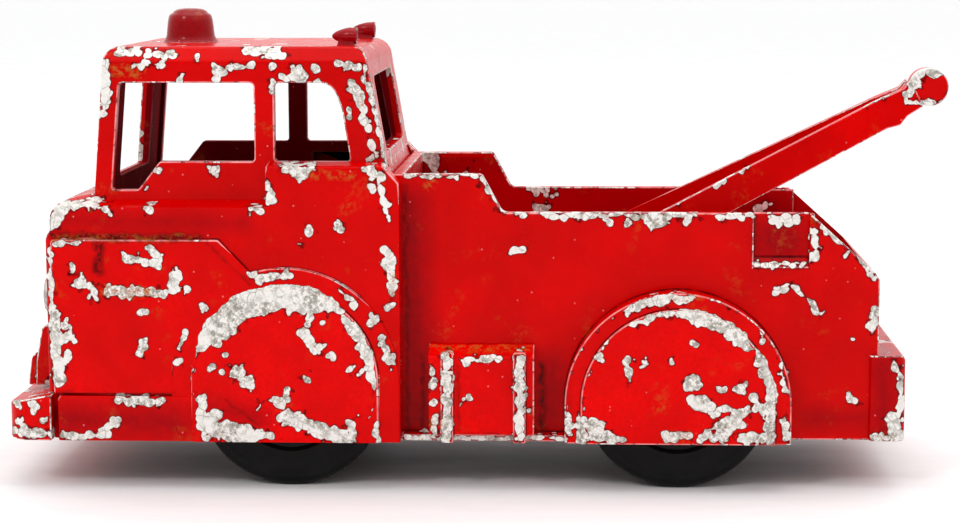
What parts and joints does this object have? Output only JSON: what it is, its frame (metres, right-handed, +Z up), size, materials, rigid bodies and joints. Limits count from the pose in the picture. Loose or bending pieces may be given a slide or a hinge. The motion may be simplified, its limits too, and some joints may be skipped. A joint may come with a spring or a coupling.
{
  "type": "toy tow truck",
  "caption": "Small cast toy tow truck with an open hollow cab, a long open bed, covered wheels that roll on wire axles and an A-frame boom that pivots above the bed.",
  "frame": {"origin": "on the ground under the middle of the whole length, nose to boom tip", "axes": "+Z up, +X towards the tail and the boom tip, +Y towards the truck's right-hand side"},
  "size_m": [0.107, 0.038, 0.0536],
  "materials": {
    "red_enamel": "glossy red enamel, chipped to grey metal along the edges",
    "worn_metal": "bare cast metal, dull and scratched",
    "bare_steel": "plain steel wire and rivets, slightly tarnished",
    "plate_steel": "rolled sheet steel, tarnished",
    "tyre_black": "smooth black rubber",
    "hub_black": "moulded black plastic"
  },
  "bodies": {
    "truck": {"cab_shell": "red_enamel", "bed_shell": "red_enamel", "base_plate": "plate_steel", "base_rivets": "bare_steel", "front_bumper": "red_enamel", "bumper_guards": "red_enamel", "grille": "red_enamel", "headlamps": "worn_metal", "rear_bumper": "red_enamel", "tool_box_left": "red_enamel", "tool_box_right": "red_enamel", "roof_beacon": "red_enamel", "work_light_left": "red_enamel", "work_light_right": "red_enamel", "boom_pin": "bare_steel", "front_axle": "bare_steel", "rear_axle": "bare_steel", "axle_caps": "bare_steel"},
    "boom": {"boom": "red_enamel"},
    "wheel_front_left": {"tyre_front_left": "tyre_black", "hub_front_left": "hub_black"},
    "wheel_front_right": {"tyre_front_right": "tyre_black", "hub_front_right": "hub_black"},
    "wheel_rear_left": {"tyre_rear_left": "tyre_black", "hub_rear_left": "hub_black"},
    "wheel_rear_right": {"tyre_rear_right": "tyre_black", "hub_rear_right": "hub_black"}
  },
  "joints": [
    {"name": "boom_pivot", "type": "hinge", "parent": "truck", "child": "boom", "pos_m": [0.01377, 0, 0.0254], "axis": [0, -1, 0], "range_deg": [-20, 45]},
    {"name": "front_left_spin", "type": "hinge", "parent": "truck", "child": "wheel_front_left", "pos_m": [-0.02163, -0.0142, 0.0106], "axis": [0, 1, 0], "continuous": true},
    {"name": "front_right_spin", "type": "hinge", "parent": "truck", "child": "wheel_front_right", "pos_m": [-0.02163, 0.0142, 0.0106], "axis": [0, 1, 0], "continuous": true},
    {"name": "rear_left_spin", "type": "hinge", "parent": "truck", "child": "wheel_rear_left", "pos_m": [0.02197, -0.0142, 0.0106], "axis": [0, 1, 0], "continuous": true},
    {"name": "rear_right_spin", "type": "hinge", "parent": "truck", "child": "wheel_rear_right", "pos_m": [0.02197, 0.0142, 0.0106], "axis": [0, 1, 0], "continuous": true}
  ]
}
